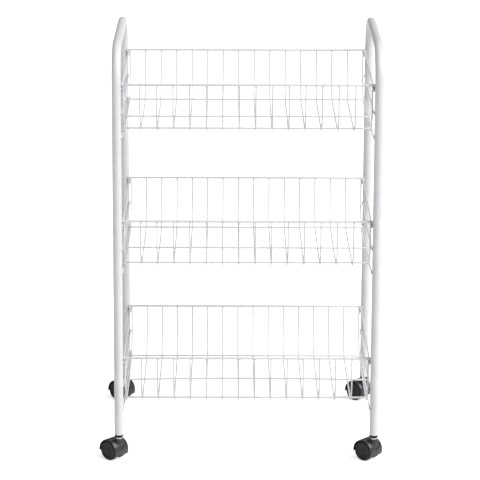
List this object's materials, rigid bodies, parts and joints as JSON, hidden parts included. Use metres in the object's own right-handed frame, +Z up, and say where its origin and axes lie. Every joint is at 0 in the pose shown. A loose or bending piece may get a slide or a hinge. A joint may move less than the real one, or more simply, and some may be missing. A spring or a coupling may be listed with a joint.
{
  "type": "wire basket trolley",
  "caption": "Wheeled storage trolley: two bent-tube side frames carry stacked open wire baskets, on swivelling twin-wheel casters.",
  "frame": {"origin": "on the floor, midway between the four legs", "axes": "+X towards the right-hand side frame as seen from the front, +Y towards the back, +Z up; the front, with the thicker basket rims, faces -Y"},
  "size_m": [0.501, 0.3953, 0.7426],
  "materials": {
    "powder_coat": "white powder coat over steel, satin",
    "hood_plastic": "moulded, fine texture",
    "wheel_plastic": "moulded, satin",
    "plug_plastic": "moulded, matte",
    "steel": "zinc-plated, bright"
  },
  "bodies": {
    "frame": {"side_frame_left": "powder_coat", "side_frame_right": "powder_coat", "basket_top": "powder_coat", "basket_middle": "powder_coat", "basket_bottom": "powder_coat", "leg_plug_front_left": "plug_plastic", "caster_stem_front_left": "steel", "leg_plug_front_right": "plug_plastic", "caster_stem_front_right": "steel", "leg_plug_rear_left": "plug_plastic", "caster_stem_rear_left": "steel", "leg_plug_rear_right": "plug_plastic", "caster_stem_rear_right": "steel"},
    "caster_front_left": {"caster_hood_front_left": "hood_plastic", "caster_axle_front_left": "steel"},
    "wheel_outer_front_left": {"wheel_outer_front_left": "wheel_plastic"},
    "wheel_inner_front_left": {"wheel_inner_front_left": "wheel_plastic"},
    "caster_front_right": {"caster_hood_front_right": "hood_plastic", "caster_axle_front_right": "steel"},
    "wheel_outer_front_right": {"wheel_outer_front_right": "wheel_plastic"},
    "wheel_inner_front_right": {"wheel_inner_front_right": "wheel_plastic"},
    "caster_rear_left": {"caster_hood_rear_left": "hood_plastic", "caster_axle_rear_left": "steel"},
    "wheel_outer_rear_left": {"wheel_outer_rear_left": "wheel_plastic"},
    "wheel_inner_rear_left": {"wheel_inner_rear_left": "wheel_plastic"},
    "caster_rear_right": {"caster_hood_rear_right": "hood_plastic", "caster_axle_rear_right": "steel"},
    "wheel_outer_rear_right": {"wheel_outer_rear_right": "wheel_plastic"},
    "wheel_inner_rear_right": {"wheel_inner_rear_right": "wheel_plastic"}
  },
  "joints": [
    {"name": "swivel_front_left", "type": "hinge", "parent": "frame", "child": "caster_front_left", "pos_m": [-0.2245, -0.172, 0.045], "axis": [0, 0, 1], "continuous": true},
    {"name": "roll_outer_front_left", "type": "hinge", "parent": "caster_front_left", "child": "wheel_outer_front_left", "pos_m": [-0.23431, -0.16347, 0.018], "axis": [-0.6561, -0.7547, 0], "continuous": true},
    {"name": "roll_inner_front_left", "type": "hinge", "parent": "caster_front_left", "child": "wheel_inner_front_left", "pos_m": [-0.23431, -0.16347, 0.018], "axis": [-0.6561, -0.7547, 0], "continuous": true},
    {"name": "swivel_front_right", "type": "hinge", "parent": "frame", "child": "caster_front_right", "pos_m": [0.2245, -0.172, 0.045], "axis": [0, 0, 1], "continuous": true},
    {"name": "roll_outer_front_right", "type": "hinge", "parent": "caster_front_right", "child": "wheel_outer_front_right", "pos_m": [0.21469, -0.16347, 0.018], "axis": [-0.6561, -0.7547, 0], "continuous": true},
    {"name": "roll_inner_front_right", "type": "hinge", "parent": "caster_front_right", "child": "wheel_inner_front_right", "pos_m": [0.21469, -0.16347, 0.018], "axis": [-0.6561, -0.7547, 0], "continuous": true},
    {"name": "swivel_rear_left", "type": "hinge", "parent": "frame", "child": "caster_rear_left", "pos_m": [-0.2245, 0.172, 0.045], "axis": [0, 0, 1], "continuous": true},
    {"name": "roll_outer_rear_left", "type": "hinge", "parent": "caster_rear_left", "child": "wheel_outer_rear_left", "pos_m": [-0.23431, 0.18053, 0.018], "axis": [-0.6561, -0.7547, 0], "continuous": true},
    {"name": "roll_inner_rear_left", "type": "hinge", "parent": "caster_rear_left", "child": "wheel_inner_rear_left", "pos_m": [-0.23431, 0.18053, 0.018], "axis": [-0.6561, -0.7547, 0], "continuous": true},
    {"name": "swivel_rear_right", "type": "hinge", "parent": "frame", "child": "caster_rear_right", "pos_m": [0.2245, 0.172, 0.045], "axis": [0, 0, 1], "continuous": true},
    {"name": "roll_outer_rear_right", "type": "hinge", "parent": "caster_rear_right", "child": "wheel_outer_rear_right", "pos_m": [0.21469, 0.18053, 0.018], "axis": [-0.6561, -0.7547, 0], "continuous": true},
    {"name": "roll_inner_rear_right", "type": "hinge", "parent": "caster_rear_right", "child": "wheel_inner_rear_right", "pos_m": [0.21469, 0.18053, 0.018], "axis": [-0.6561, -0.7547, 0], "continuous": true}
  ]
}
